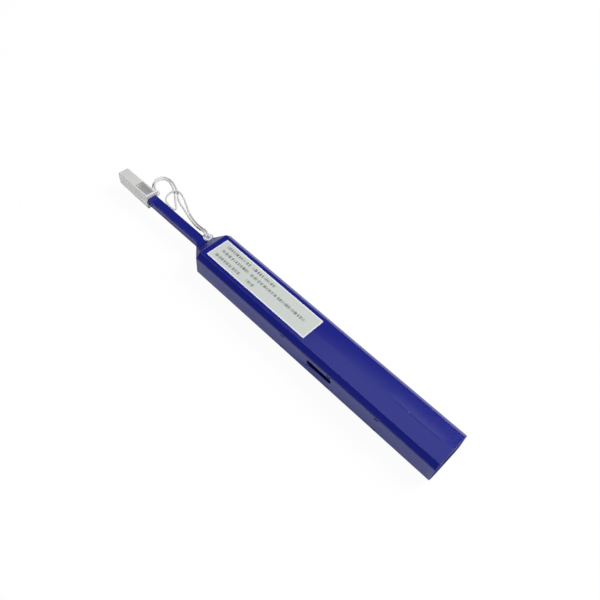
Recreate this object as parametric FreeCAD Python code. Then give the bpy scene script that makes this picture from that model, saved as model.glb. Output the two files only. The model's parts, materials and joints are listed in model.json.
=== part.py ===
"""Fibre connector cleaning pen: clip-together case with a long neck, tethered cap, and the wiping
mechanism inside, a sprung core that slides back 8 mm and turns two thread reels and the wiping head.

Millimetres. X runs from the cap (-X) to the rear end (+X), Y across, Z up from the back face.
The origin is under the middle of the pen, on the back face.
"""
import FreeCAD, Part
import math
import os

V = FreeCAD.Vector

# ---- driving dimensions -------------------------------------------------------------------------
# lengths along the pen, from the rear end forward
body_length = 126.0          # straight eight-sided body
slope_length = 6.2           # front of the body sloping in to the neck
flare_length = 2.8           # flat shelf that spreads from the neck and carries the eyelet
neck_length = 42.0
nozzle_reach = 8.0           # nozzle standing out of the neck
cap_end_gap = 3.8            # room in front of the nozzle inside the cap
cap_end_wall = 1.2

# case sections
body_width = 19.0
body_thickness = 13.2
body_chamfer = 2.3
flare_width = 9.0
neck_width = 4.5
neck_thickness = 3.8
neck_chamfer = 0.35
flare_chamfer = 0.6
rear_edge = 0.2              # small bevel round the rear end
wall = 1.2
neck_wall = 0.6
slope_wall = 1.0             # wall left at the front of the slope, along X

# running clearances
gap = 0.1                    # moulded piece sliding or clipped beside another
push_fit = 0.05              # cap on the neck, tube in its seat
bearing = 0.05               # radial, a reel on its axle

# clips that join the covers to the frame
clip_positions = (26.4, 50.0, 74.6)     # from the rear end
clip_window = 2.0
clip_height = 0.7
clip_lip = 0.3               # frame left above the window
clip_arm_width = 3.2
clip_arm_depth = 3.0
clip_arm = 0.9               # thickness of the springy arm
clip_nose = 1.0              # how far the nose stands into the window
rib_depth = 1.0              # locating rib along the cover's edge

# slot that shows the supply reel
slot_back = 54.8             # middle of the slot, from the rear end
slot_length = 12.7
slot_height = 2.8
slot_rise = 1.5              # above the middle of the side wall

# label
label_length = 56.2
label_width = 11.3
label_thickness = 0.1
label_front = 2.5            # from the front of the body's flat face

# eyelet and its boss
eyelet_flange_radius = 2.05
eyelet_flange = 0.35
eyelet_barrel_radius = 1.3
eyelet_hole_radius = 1.06
eyelet_margin = 0.25         # boss outside the flange
eyelet_back = 1.4            # from the front of the flare
eyelet_y = 3.1

# cap
cap_grip = 8.6               # length of neck inside the cap
cap_rim_width = 6.0
cap_rim_height = 7.3
cap_front_width = 5.5
cap_front_height = 6.3
cap_corner = 0.7
cap_nose_radius = 0.6
cap_inner_width = 3.8        # beyond the neck
cap_inner_height = 4.2
lug_length = 3.2
lug_reach = 2.6
lug_thickness = 1.2
lug_hole_radius = 0.62
lug_back = 0.9               # from the rim

# tether
cord_radius = 0.5
knot_radius = 1.6

# sliding core
core_travel = 8.0
core_floor = 1.0
core_side_gap = 0.2          # beside the core, at the edge of the back cover's flat floor
rack_room = 0.5              # between the core's narrow floor and the rack's teeth
core_wall = 0.8
core_wall_height = 5.0
runner_height = 0.7
runner_width = 1.0
runner_inset = 0.1           # from the edge of the core's narrow floor
core_front = 9.0             # front wall of the core, behind the body's front
core_front_wall = 2.0
core_front_height = 7.4
core_side_length = 50.0      # side walls, from the front wall back
core_tail = 16.0             # rear face of the tail block, from the rear end
tail_block = 3.0
stop_rib = 1.2
stop_height = 3.0

# nozzle
nozzle_width = 3.1
nozzle_height = 2.4
nozzle_corner = 0.3
nozzle_bore_radius = 0.9
nozzle_flange = 1.0
nozzle_flange_size = 5.6
tip_length = 6.0
tip_radius = 1.2
ferrule_bore_radius = 0.65   # takes a 1.25 mm ferrule
ferrule_bore_length = 2.7
ferrule_lead = 0.15

# reels
axle_radius = 1.0
axle_head_radius = 1.7
axle_head = 0.6
supply_y = -0.9
supply_overhang = 0.1        # flange past the core's side
supply_rim = 1.0             # flange past the wound thread
supply_ply = 0.2             # thread left on the drum
take_up_back = 29.0          # axle from the rear end
take_up_rim = 0.4            # flange past the pinion's pitch line
take_up_thread_radius = 4.5
hub_radius = 2.4
reel_flange = 0.7
reel_seat = 0.3              # boss under a reel
supply_winding = 3.4         # thread width between the flanges
take_up_winding = 3.4
drum_height = 1.6

# rack, pinion and ratchet
gear_module = 0.5
dedendum_share = 1.2         # of the module
tooth_root = 0.35            # half width at the root, of the pitch
tooth_tip = 0.115
pinion_inset = 1.0           # pitch line inside the core's side
pinion_height = 1.5
rack_length = 20.0
rack_front = 6.0             # rack ahead of the take-up axle at rest
rack_back = 0.6              # wall behind the teeth
ratchet_teeth = 14
ratchet_radius = 5.0
ratchet_depth = 0.7
ratchet_height = 0.9
ratchet_lean = 0.06          # radians taken by the steep side of a tooth
pawl_post = 2.0
pawl_arm = 0.7
pawl_ahead = 12.5            # of the take-up axle
pawl_y = -3.4
pawl_angle = 205.0           # where the finger meets the ratchet, degrees round the axle

# wiping head
cam_back = 22.0              # barrel behind the core's front
cam_length = 14.0
cam_radius = 3.4
cam_groove_depth = 0.8
cam_pin_radius = 0.5
cam_groove_clearance = 0.1
cam_pin_back = 11.0          # pin behind the front of the barrel
cam_turn = 180.0             # degrees over the core's travel
cam_steps = 24               # cuts that make up the groove
bearing_length = 2.9         # blocks at each end of the barrel
shaft_radius = 0.9
shaft_tip_radius = 0.35
shaft_step_back = 5.0        # thick part of the shaft behind the core's front

# thread and its rollers
thread_radius = 0.15
thread_pair = 0.57           # half the distance between the two runs in the nozzle
roller_radius = 1.2
roller_pin_radius = 0.5
roller_height = 4.0
roller_back = 14.0           # from the core's front
roller_y = 2.35

# return spring
spring_radius = 3.0
spring_wire_radius = 0.3
spring_turns = 6
spring_arcs = 8              # arcs that make up a turn
spring_boss_radius = 2.2
spring_boss = 2.5

# ---- places worked out from them ----------------------------------------------------------------
total_length = (body_length + slope_length + flare_length + neck_length + nozzle_reach
                + cap_end_gap + cap_end_wall)
rear_x = total_length / 2
body_front_x = rear_x - body_length
slope_front_x = body_front_x - slope_length
neck_rear_x = slope_front_x - flare_length
neck_front_x = neck_rear_x - neck_length
nozzle_tip_x = neck_front_x - nozzle_reach
cap_front_x = -rear_x
cap_rim_x = neck_front_x + cap_grip
mid_z = body_thickness / 2
cover_z = body_thickness - body_chamfer      # seam between frame and front cover
inner_y = body_width / 2 - wall
floor_z = wall                               # inside of the back cover
roof_z = body_thickness - wall
core_z = floor_z + runner_height + gap       # underside of the core
core_top_z = core_z + core_floor
core_front_x = body_front_x + core_front
tail_x = rear_x - core_tail
reel_z = core_top_z + reel_seat
core_width = body_width - 2 * (body_chamfer + core_side_gap)
pinion_teeth = round((core_width - 2 * pinion_inset) / gear_module)
pinion_radius = gear_module * pinion_teeth / 2
core_tail_width = 2 * (pinion_radius - gear_module - rack_room)     # floor beside the rack
runner_y = (core_tail_width - runner_width) / 2 - runner_inset
supply_flange_radius = core_width / 2 + supply_y + supply_overhang
supply_thread_radius = supply_flange_radius - supply_rim
supply_drum_radius = supply_thread_radius - supply_ply
take_up_flange_radius = pinion_radius + take_up_rim
slot_x = rear_x - slot_back
supply_x = slot_x
take_up_x = rear_x - take_up_back
cam_front = core_front_x + cam_back
cam_pin_x = cam_front + cam_pin_back
roller_x = core_front_x + roller_back


# ---- small helpers ------------------------------------------------------------------------------
def box(x0, x1, y0, y1, z0, z1):
    return Part.makeBox(x1 - x0, y1 - y0, z1 - z0, V(x0, y0, z0))


def cylinder(radius, base, direction, length):
    return Part.makeCylinder(radius, length, base, direction)


def upright(radius, x, y, z0, z1):
    return cylinder(radius, V(x, y, z0), V(0, 0, 1), z1 - z0)


def octagon(x, width, thickness, chamfer):
    """Eight-sided section across the pen at x, centred on the axis."""
    a, b, c = width / 2, thickness / 2, chamfer
    outline = [(a, b - c), (a - c, b), (c - a, b), (-a, b - c), (-a, c - b), (c - a, -b), (a - c, -b), (a, c - b)]
    corners = [V(x, y, mid_z + z) for y, z in outline]
    return Part.makePolygon(corners + corners[:1])


def rounded_section(x, width, height, radius):
    """Rectangle across the pen at x with round corners, centred on the axis."""
    a, b = width / 2, height / 2
    edges = []
    for i, (sy, sz) in enumerate(((1, 1), (-1, 1), (-1, -1), (1, -1))):
        cy, cz = sy * (a - radius), sz * (b - radius)
        start = math.radians(90 * i)
        arc = [V(x, cy + radius * math.cos(start + t), mid_z + cz + radius * math.sin(start + t))
               for t in (0, math.pi / 4, math.pi / 2)]
        edges.append(Part.Arc(*arc).toShape())
    wire = []
    for here, after in zip(edges, edges[1:] + edges[:1]):
        wire.append(here)
        wire.append(Part.makeLine(here.Vertexes[-1].Point, after.Vertexes[0].Point))
    return Part.Wire(wire)


def loft(sections):
    return Part.makeLoft(sections, True, True)


def prism(points, z0, z1):
    """Upright prism over a list of (x, y) points."""
    corners = [V(x, y, z0) for x, y in points]
    return Part.Face(Part.makePolygon(corners + corners[:1])).extrude(V(0, 0, z1 - z0))


def rounded_path(points):
    """Wire of straight runs joined by tangent arcs, with the arc radii."""
    points = [V(*p) for p in points]
    edges, radii = [], []
    start = points[0]
    for before, corner, after in zip(points, points[1:], points[2:]):
        run_in, run_out = corner - before, after - corner
        half_turn = run_in.getAngle(run_out) / 2
        cut = 0.45 * min(run_in.Length, run_out.Length)
        radius = cut / math.tan(half_turn)
        u, w = run_in.normalize(), run_out.normalize()
        first, last = corner - u * cut, corner + w * cut
        inward = (w - u).normalize()
        middle = corner + inward * (radius / math.cos(half_turn) - radius)
        edges.append(Part.LineSegment(start, first).toShape())
        edges.append(Part.Arc(first, middle, last).toShape())
        radii.append(radius)
        start = last
    edges.append(Part.LineSegment(start, points[-1]).toShape())
    return Part.Wire(edges), radii


def tube(points, radius):
    wire, radii = rounded_path(points)
    direction = V(*points[1]) - V(*points[0])
    profile = Part.Wire(Part.makeCircle(radius, V(*points[0]), direction))
    return wire.makePipeShell([profile], True, False), wire.Length, radii


# ---- case ---------------------------------------------------------------------------------------
def case_outside():
    """Body, slope, flare and neck as one solid of eight-sided sections."""
    bevel_chamfer = body_chamfer - rear_edge * (2 - math.sqrt(2))
    return loft([
        octagon(neck_front_x, neck_width, neck_thickness, neck_chamfer),
        octagon(neck_rear_x, neck_width, neck_thickness, neck_chamfer),
        octagon(slope_front_x, flare_width, neck_thickness, flare_chamfer),
        octagon(body_front_x, body_width, body_thickness, body_chamfer),
        octagon(rear_x - rear_edge, body_width, body_thickness, body_chamfer),
        octagon(rear_x, body_width - 2 * rear_edge, body_thickness - 2 * rear_edge, bevel_chamfer),
    ])


def case_cavity():
    """Room inside the case, narrowing to the passage through the neck."""
    inner_chamfer = body_chamfer - wall * (2 - math.sqrt(2))
    bore_width = neck_width - 2 * neck_wall
    bore_height = neck_thickness - 2 * neck_wall
    inner_width = body_width - 2 * wall
    inner_height = body_thickness - 2 * wall
    small = neck_chamfer / 2
    return loft([
        octagon(neck_front_x - wall, bore_width, bore_height, small),
        octagon(slope_front_x + slope_wall, bore_width, bore_height, small),
        octagon(body_front_x + slope_wall, inner_width, inner_height, inner_chamfer),
        octagon(rear_x - wall, inner_width, inner_height, inner_chamfer),
    ])


def eyelet_place():
    return neck_rear_x + eyelet_back, eyelet_y


def mid_frame():
    """Side walls, rear wall, slope and neck, between the two covers."""
    x, y = eyelet_place()
    top = mid_z + neck_thickness / 2
    boss_radius = eyelet_flange_radius + eyelet_margin
    frame = case_outside().fuse(upright(boss_radius, x, y, body_thickness - top, top))
    for low, high in ((top, body_thickness), (0, body_thickness - top)):
        frame = frame.cut(upright(boss_radius, x, y, low, high))
    frame = frame.cut(case_cavity())
    frame = frame.cut(box(body_front_x + slope_wall, rear_x - wall, -inner_y, inner_y,
                          body_thickness - cover_z, cover_z))
    frame = frame.cut(upright(eyelet_barrel_radius, x, y, 0, body_thickness))
    for low, high in ((0, body_thickness - cover_z), (cover_z, body_thickness)):
        frame = frame.cut(box(cap_front_x, rear_x, -body_width, body_width, low, high))
    frame = frame.cut(reel_slot())
    for cut in clip_windows():
        frame = frame.cut(cut)
    spring_seat = cylinder(spring_boss_radius, V(rear_x - wall, 0, mid_z), V(-1, 0, 0), spring_boss)
    return frame.fuse(spring_seat).removeSplitter()


def reel_slot():
    """Round-ended slot through the near side wall."""
    z = mid_z + slot_rise
    radius = slot_height / 2
    half = slot_length / 2 - radius
    slot = box(slot_x - half, slot_x + half, -body_width / 2, -inner_y, z - radius, z + radius)
    for x in (slot_x - half, slot_x + half):
        slot = slot.fuse(cylinder(radius, V(x, -inner_y, z), V(0, -1, 0), wall))
    return slot


def clip_places():
    return [rear_x - back for back in clip_positions]


def clip_windows():
    cuts = []
    high = cover_z - clip_lip
    for x in clip_places():
        for low_z in (high - clip_height, body_thickness - high):
            for side in (-1, 1):
                y = sorted((side * inner_y, side * body_width / 2))
                cuts.append(box(x - clip_window / 2, x + clip_window / 2, *y, low_z, low_z + clip_height))
    return cuts


def clip(x, side):
    """Springy arm of the front cover with a wedge nose in the frame's window."""
    outer = inner_y - gap
    arm_y = sorted((side * (outer - clip_arm), side * outer))
    half = clip_arm_width / 2
    arm = box(x - half, x + half, *arm_y, cover_z - clip_arm_depth, roof_z)
    top = cover_z - clip_lip - gap
    low = top - clip_height + 2 * gap
    profile = [V(0, side * outer, low), V(0, side * (outer + clip_nose), top), V(0, side * outer, top)]
    nose = Part.Face(Part.makePolygon(profile + profile[:1]))
    nose.translate(V(x - clip_window / 2 + gap, 0, 0))
    return arm.fuse(nose.extrude(V(clip_window - 2 * gap, 0, 0)))


def cover():
    """Front cover: broad face and chamfers, a locating rib and three clips down each side."""
    shell = case_outside().cut(case_cavity())
    shell = shell.common(box(cap_front_x, rear_x, -body_width, body_width, cover_z, body_thickness))
    outer = inner_y - gap
    for side in (-1, 1):
        rib_y = sorted((side * (outer - clip_arm), side * outer))
        rib = box(body_front_x + slope_wall + gap, rear_x - wall - gap, *rib_y, cover_z - rib_depth, roof_z)
        shell = shell.fuse(rib)
        for x in clip_places():
            shell = shell.fuse(clip(x, side))
    return shell.removeSplitter()


def front_cover():
    return cover()


def back_cover():
    """The other cover, with runners for the core and the ribs it stops against."""
    shell = cover().mirror(V(0, 0, mid_z), V(0, 0, 1))
    front = core_front_x + gap
    for side in (-1, 1):
        y = side * runner_y
        runner = box(front, tail_x, y - runner_width / 2, y + runner_width / 2, floor_z - gap, core_z - gap)
        stop_x = core_front_x - gap - stop_rib
        stop = box(stop_x, stop_x + stop_rib, y - runner_width, y + runner_width, floor_z - gap,
                   core_z + stop_height)
        shell = shell.fuse([runner, stop])
    return shell.removeSplitter()


def label():
    start = body_front_x + label_front
    return box(start, start + label_length, -label_width / 2, label_width / 2, body_thickness,
               body_thickness + label_thickness)


def eyelet():
    """Turned ring with a flange on each face of the boss."""
    x, y = eyelet_place()
    top = mid_z + neck_thickness / 2
    bottom = body_thickness - top
    ring = upright(eyelet_barrel_radius, x, y, bottom, top)
    ring = ring.fuse(upright(eyelet_flange_radius, x, y, top, top + eyelet_flange))
    ring = ring.fuse(upright(eyelet_flange_radius, x, y, bottom - eyelet_flange, bottom))
    ring = ring.cut(upright(eyelet_hole_radius, x, y, bottom - wall, top + wall))
    rims = [e for e in ring.Edges if e.Curve.TypeId == "Part::GeomCircle"
            and abs(e.Curve.Radius - eyelet_flange_radius) < 1e-6
            and abs(abs(e.Vertexes[0].Z - mid_z) - neck_thickness / 2) > eyelet_flange / 2]
    return ring.makeFillet(eyelet_flange / 2, rims)


# ---- cap and tether -----------------------------------------------------------------------------
def cap():
    """Push-on cap, wider at the rim, with the lug that the tether passes through."""
    outside = loft([rounded_section(cap_front_x, cap_front_width, cap_front_height, cap_corner),
                    rounded_section(cap_rim_x, cap_rim_width, cap_rim_height, cap_corner)])
    nose = [e for e in outside.Edges if abs(e.BoundBox.XMax - cap_front_x) < 1e-6]
    outside = outside.makeFillet(cap_nose_radius, nose)
    lug_x, lug_y = lug_place()
    half = lug_length / 2
    lug = box(lug_x - half, lug_x + half, 0, lug_y, mid_z - lug_thickness / 2, mid_z + lug_thickness / 2)
    lug = lug.fuse(upright(half, lug_x, lug_y, mid_z - lug_thickness / 2, mid_z + lug_thickness / 2))
    outside = outside.fuse(lug)
    seat = loft([octagon(x, neck_width + 2 * push_fit, neck_thickness + 2 * push_fit, neck_chamfer)
                 for x in (neck_front_x - push_fit, cap_rim_x)])
    room = box(cap_front_x + cap_end_wall, neck_front_x, -cap_inner_width / 2, cap_inner_width / 2,
               mid_z - cap_inner_height / 2, mid_z + cap_inner_height / 2)
    hole = upright(lug_hole_radius, lug_x, lug_y, 0, body_thickness)
    return outside.cut([seat, room, hole]).removeSplitter()


def lug_place():
    x = cap_rim_x - lug_back - lug_length / 2
    return x, cap_rim_width / 2 + lug_reach - lug_length / 2


# The two strands of the tether loop, from the eyelet out over the surface to the cap's lug.
long_strand_route = [
    (-38.35, 3.55, 7.2), (-38.35, 3.55, 9.6), (-41.0, 4.4, 9.7), (-45.1, 5.5, 7.0), (-50.4, 7.0, 4.1),
    (-56.0, 8.9, 1.8), (-61.2, 10.7, 0.6), (-64.6, 12.3, 0.5), (-68.0, 13.9, 0.6), (-71.2, 15.1, 1.1),
    (-74.0, 15.4, 1.6), (-75.9, 14.2, 1.7), (-76.4, 12.2, 1.6), (-76.4, 10.1, 1.1), (-75.2, 8.1, 0.6),
    (-72.8, 7.0, 0.5), (-69.9, 6.6, 0.5), (-67.3, 6.9, 0.5), (-67.0, 8.1, 0.5), (-69.4, 9.4, 0.5),
    (-72.6, 11.6, 0.5), (-75.6, 13.8, 0.5), (-78.4, 15.2, 0.5), (-81.3, 16.2, 0.6), (-83.7, 16.7, 0.8),
    (-85.2, 15.6, 1.6), (-85.3, 13.4, 2.8), (-84.0, 10.6, 4.4), (-81.6, 7.6, 6.2), (-78.9, 5.4, 8.0),
    (-75.9, 4.0, 8.6), (-75.9, 4.0, 6.6),
]
short_strand_route = [
    (-38.85, 2.65, 7.2), (-38.85, 2.65, 9.6), (-41.5, 3.4, 9.6), (-45.5, 4.4, 6.9), (-50.8, 5.9, 4.0),
    (-56.4, 7.8, 1.8), (-61.4, 9.5, 0.6), (-65.3, 10.6, 0.5), (-69.1, 11.5, 0.5), (-72.2, 12.9, 0.5),
    (-75.1, 15.0, 0.5), (-78.1, 16.5, 0.5), (-81.2, 17.5, 0.5), (-84.3, 17.9, 0.6), (-86.5, 16.6, 1.3),
    (-87.0, 14.2, 2.2), (-86.0, 10.9, 3.3), (-83.4, 7.4, 4.2), (-80.0, 5.0, 4.6), (-75.9, 4.0, 4.6),
    (-75.9, 4.0, 6.6),
]


def strand(name, route):
    shape, length, radii = tube(route, cord_radius)
    section = math.pi * cord_radius ** 2
    print(name, "length", round(length, 1), "radii", [round(r, 1) for r in radii])
    print(name, "volume over section times length", round(shape.Volume / (section * length), 4))
    return shape


def tether_long_strand():
    return strand("long strand", long_strand_route)


def tether_short_strand():
    return strand("short strand", short_strand_route)


def tether_knot():
    """Stopper knot under the eyelet, with the two strands rising from it into the hole."""
    x, y = eyelet_place()
    flange_z = mid_z - neck_thickness / 2 - eyelet_flange
    centre = V(x, y, flange_z - knot_radius)
    knot = Part.makeSphere(knot_radius, centre)
    knot = knot.cut(box(x - knot_radius, x + knot_radius, y - knot_radius, y + knot_radius,
                        flange_z - gap, flange_z))
    for route in (long_strand_route, short_strand_route):
        strand_x, strand_y, strand_z = route[0]
        knot = knot.fuse(upright(cord_radius, strand_x, strand_y, centre.z, strand_z))
    return knot


# ---- sliding core -------------------------------------------------------------------------------
def core_frame():
    """Tray on the runners: front wall holding the nozzle, side walls, tail block for the spring."""
    front = core_front_x
    half = core_width / 2
    wide_end = take_up_x - rack_front - core_travel - 3 * gap
    tray = box(front, wide_end, -half, half, core_z, core_top_z)
    narrow = core_tail_width / 2
    tray = tray.fuse(box(front, tail_x, -narrow, narrow, core_z, core_top_z))
    tray = tray.fuse(box(front, front + core_front_wall, -half, half, core_z, core_z + core_front_height))
    for side in (-1, 1):
        y = sorted((side * (half - core_wall), side * half))
        tray = tray.fuse(box(front, front + core_side_length, *y, core_z, core_z + core_wall_height))
    tray = tray.fuse(box(tail_x - tail_block, tail_x, -narrow, narrow, core_z, roof_z - 2 * gap))
    tray = tray.fuse(cylinder(spring_boss_radius, V(tail_x, 0, mid_z), V(1, 0, 0), spring_boss))
    for x in (cam_front - gap - bearing_length, cam_front + cam_length + gap):
        tray = tray.fuse(box(x, x + bearing_length, -cam_radius, cam_radius, core_z, mid_z + 2 * shaft_radius))
    tray = tray.cut(cylinder(shaft_radius + bearing, V(front, 0, mid_z), V(1, 0, 0), shaft_end_x() - front))
    tray = tray.cut(loft([rounded_section(x, nozzle_width + 2 * push_fit, nozzle_height + 2 * push_fit,
                                          nozzle_corner) for x in (front - gap, front + core_front_wall + gap)]))
    for x, y in ((supply_x, supply_y), (take_up_x, 0)):
        tray = tray.fuse(upright(hub_radius, x, y, core_top_z, reel_z - gap))
        tray = tray.cut(upright(axle_radius, x, y, core_z - gap, body_thickness))
    for side in (-1, 1):
        tray = tray.fuse(upright(roller_radius, roller_x, side * roller_y, core_top_z, roller_base() - gap))
        tray = tray.cut(upright(roller_pin_radius, roller_x, side * roller_y, core_z - gap, body_thickness))
    return tray.removeSplitter()


def shaft_end_x():
    return cam_front + cam_length + gap + bearing_length


def roller_base():
    return mid_z - roller_height / 2


def nozzle_tube():
    """Slim box tube through the neck, flanged where it seats against the core's front wall."""
    back = core_front_x + core_front_wall
    front = nozzle_tip_x + tip_length
    body = loft([rounded_section(x, nozzle_width, nozzle_height, nozzle_corner)
                 for x in (front, back + nozzle_flange)])
    half = nozzle_flange_size / 2
    body = body.fuse(box(back, back + nozzle_flange, -half, half, mid_z - half, mid_z + half))
    bore = cylinder(nozzle_bore_radius, V(front, 0, mid_z), V(1, 0, 0), back + nozzle_flange - front)
    return body.cut(bore)


def tip_sleeve():
    """Round tip with a bore for the ferrule, opening out behind it round the wiping loop."""
    ahead = V(1, 0, 0)
    mouth = V(nozzle_tip_x, 0, mid_z)
    body = cylinder(tip_radius, mouth, ahead, tip_length)
    body = body.cut(cylinder(ferrule_bore_radius, mouth, ahead, ferrule_bore_length))
    back = mouth + ahead * ferrule_bore_length
    body = body.cut(cylinder(nozzle_bore_radius, back, ahead, tip_length - ferrule_bore_length))
    lead = Part.makeCone(ferrule_bore_radius + ferrule_lead, ferrule_bore_radius, ferrule_lead, mouth, ahead)
    outer = [e for e in body.Edges if e.Curve.TypeId == "Part::GeomCircle"
             and abs(e.Curve.Radius - tip_radius) < 1e-6 and e.BoundBox.XMax < nozzle_tip_x + ferrule_lead]
    return body.makeChamfer(ferrule_lead, outer).cut(lead)


def axle(x, y, top):
    """Headed pin pressed into the core's floor."""
    pin = upright(axle_radius, x, y, core_z, top + gap)
    return pin.fuse(upright(axle_head_radius, x, y, top + gap, top + gap + axle_head))


def supply_top():
    return reel_z + 2 * reel_flange + supply_winding + drum_height


def take_up_top():
    return reel_z + pinion_height + 2 * reel_flange + take_up_winding + ratchet_height


def supply_axle():
    return axle(supply_x, supply_y, supply_top())


def take_up_axle():
    return axle(take_up_x, 0, take_up_top())


def supply_reel():
    """Hub between two flanges, with the brake drum on top."""
    x, y = supply_x, supply_y
    upper = reel_z + reel_flange + supply_winding
    reel = upright(hub_radius, x, y, reel_z, upper)
    reel = reel.fuse(upright(supply_flange_radius, x, y, reel_z, reel_z + reel_flange))
    reel = reel.fuse(upright(supply_flange_radius, x, y, upper, upper + reel_flange))
    reel = reel.fuse(upright(supply_drum_radius, x, y, upper, supply_top()))
    reel = reel.cut(upright(supply_drum_radius - wall, x, y, upper + reel_flange, supply_top()))
    reel = reel.fuse(upright(hub_radius, x, y, upper, supply_top()))
    return reel.cut(upright(axle_radius + bearing, x, y, reel_z, supply_top())).removeSplitter()


def winding(x, y, z0, height, radius):
    return upright(radius, x, y, z0, z0 + height).cut(upright(hub_radius, x, y, z0, z0 + height))


def supply_thread():
    return winding(supply_x, supply_y, reel_z + reel_flange, supply_winding, supply_thread_radius)


def take_up_reel():
    z = reel_z + pinion_height
    upper = z + reel_flange + take_up_winding
    reel = upright(hub_radius, take_up_x, 0, z, upper)
    reel = reel.fuse(upright(take_up_flange_radius, take_up_x, 0, z, z + reel_flange))
    reel = reel.fuse(upright(take_up_flange_radius, take_up_x, 0, upper, upper + reel_flange))
    return reel.cut(upright(axle_radius + bearing, take_up_x, 0, z, upper + reel_flange)).removeSplitter()


def take_up_thread():
    z = reel_z + pinion_height + reel_flange
    return winding(take_up_x, 0, z, take_up_winding, take_up_thread_radius)


def tooth_heights():
    """Addendum and dedendum from the pitch line."""
    return gear_module, dedendum_share * gear_module


def tooth(root, tip):
    """Half widths of a tooth at root and tip, in shares of the pitch, in order along its outline."""
    return (root, -tooth_root), (tip, -tooth_tip), (tip, tooth_tip), (root, tooth_root)


def drive_pinion():
    """Spur pinion under the take-up reel, a tooth gap facing the rack's middle tooth."""
    addendum, dedendum = tooth_heights()
    step = 2 * math.pi / pinion_teeth
    outline = []
    for i in range(pinion_teeth):
        centre = -math.pi / 2 + step * (i + 0.5)
        for radius, share in tooth(pinion_radius - dedendum, pinion_radius + addendum):
            angle = centre + share * step
            outline.append((take_up_x + radius * math.cos(angle), radius * math.sin(angle)))
    body = prism(outline, reel_z, reel_z + pinion_height)
    return body.cut(upright(axle_radius + bearing, take_up_x, 0, reel_z, reel_z + pinion_height))


def drive_rack():
    """Toothed rib standing on the back cover beside the pinion."""
    addendum, dedendum = tooth_heights()
    pitch = math.pi * gear_module
    root = -pinion_radius - dedendum
    tip = -pinion_radius + addendum
    front = take_up_x - rack_front
    back = front + rack_length
    outline = [(back, root - rack_back), (front, root - rack_back), (front, root)]
    first = math.ceil((front - take_up_x) / pitch + 0.5)
    last = math.floor((back - take_up_x) / pitch - 0.5)
    for i in range(first, last + 1):
        centre = take_up_x + i * pitch
        for y, share in tooth(root, tip):
            outline.append((centre + share * pitch, y))
    outline.append((back, root))
    return prism(outline, floor_z, reel_z + pinion_height).common(case_cavity())


def ratchet_wheel():
    """Saw-toothed wheel on top of the take-up reel."""
    step = 2 * math.pi / ratchet_teeth
    outline = []
    for i in range(ratchet_teeth):
        for radius, angle in ((ratchet_radius, i * step), (ratchet_radius - ratchet_depth, i * step + ratchet_lean)):
            outline.append((take_up_x + radius * math.cos(angle), radius * math.sin(angle)))
    z = take_up_top() - ratchet_height
    body = prism(outline, z, z + ratchet_height)
    return body.cut(upright(axle_radius + bearing, take_up_x, 0, z, z + ratchet_height))


def ratchet_pawl():
    """Post on the core with a springy finger that ends beside the ratchet's teeth."""
    half = pawl_post / 2
    pawl_x = take_up_x - pawl_ahead
    z1 = take_up_top()
    post = box(pawl_x - half, pawl_x + half, pawl_y - half, pawl_y + half, core_top_z, z1)
    angle = math.radians(pawl_angle)
    reach = ratchet_radius + 3 * gap
    tip = (take_up_x + reach * math.cos(angle), reach * math.sin(angle))
    finger = prism([(pawl_x, pawl_y - pawl_arm / 2), (tip[0], tip[1] - pawl_arm), tip,
                    (pawl_x, pawl_y + pawl_arm / 2)], z1 - ratchet_height, z1)
    return post.fuse(finger).removeSplitter()


# ---- wiping head --------------------------------------------------------------------------------
def cam_barrel():
    """Barrel with a half-turn screw groove that the fixed pin follows."""
    barrel = cylinder(cam_radius, V(cam_front, 0, mid_z), V(1, 0, 0), cam_length)
    radius = cam_pin_radius + cam_groove_clearance
    floor = cam_radius - cam_groove_depth
    cutters = []
    for i in range(cam_steps + 1):
        share = i / cam_steps
        angle = math.radians(90 - cam_turn * share)
        base = V(cam_pin_x - core_travel * share, floor * math.cos(angle), mid_z + floor * math.sin(angle))
        outward = V(0, math.cos(angle), math.sin(angle))
        cutters.append(cylinder(radius, base, outward, 2 * cam_groove_depth))
    barrel = barrel.cut(cutters)
    return barrel.cut(cylinder(shaft_radius, V(cam_front, 0, mid_z), V(1, 0, 0), cam_length))


def cam_pin():
    """Peg hanging from the front cover into the groove."""
    tip = mid_z + cam_radius - cam_groove_depth + gap
    return upright(cam_pin_radius, cam_pin_x, 0, tip, roof_z)


def head_shaft():
    """Shaft from the barrel to the wiping tip inside the nozzle."""
    ahead = V(1, 0, 0)
    tip_x = thread_tip_x() + thread_radius + gap / 2
    step_x = core_front_x + shaft_step_back
    shaft = cylinder(shaft_tip_radius, V(tip_x, 0, mid_z), ahead, step_x - tip_x)
    return shaft.fuse(cylinder(shaft_radius, V(step_x, 0, mid_z), ahead, shaft_end_x() - step_x))


# ---- thread, rollers and spring -----------------------------------------------------------------
def thread_tip_x():
    return nozzle_tip_x + ferrule_bore_length + thread_radius + gap


def cleaning_thread():
    """One thread: off the supply reel, round the tip of the shaft, back to the take-up reel."""
    tip = thread_tip_x()
    beside = roller_y + roller_radius + thread_radius + gap / 2
    supply_z = reel_z + reel_flange + supply_winding / 2
    take_up_z = reel_z + pinion_height + reel_flange + take_up_winding / 2
    near_y = supply_y - supply_thread_radius - thread_radius - gap / 2
    far_y = supply_y + supply_flange_radius + thread_radius + 3 * gap
    far_end = take_up_thread_radius + thread_radius + gap / 2
    nozzle_x = core_front_x + core_front_wall + nozzle_flange
    route = [
        (supply_x, near_y, supply_z), (roller_x, -beside, mid_z), (nozzle_x, -thread_pair, mid_z),
        (tip, -thread_pair, mid_z), (tip, thread_pair, mid_z), (nozzle_x, thread_pair, mid_z),
        (roller_x, beside, mid_z), (supply_x, far_y, take_up_z), (take_up_x, far_end, take_up_z),
    ]
    return tight_tube(route, thread_radius)


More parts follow.
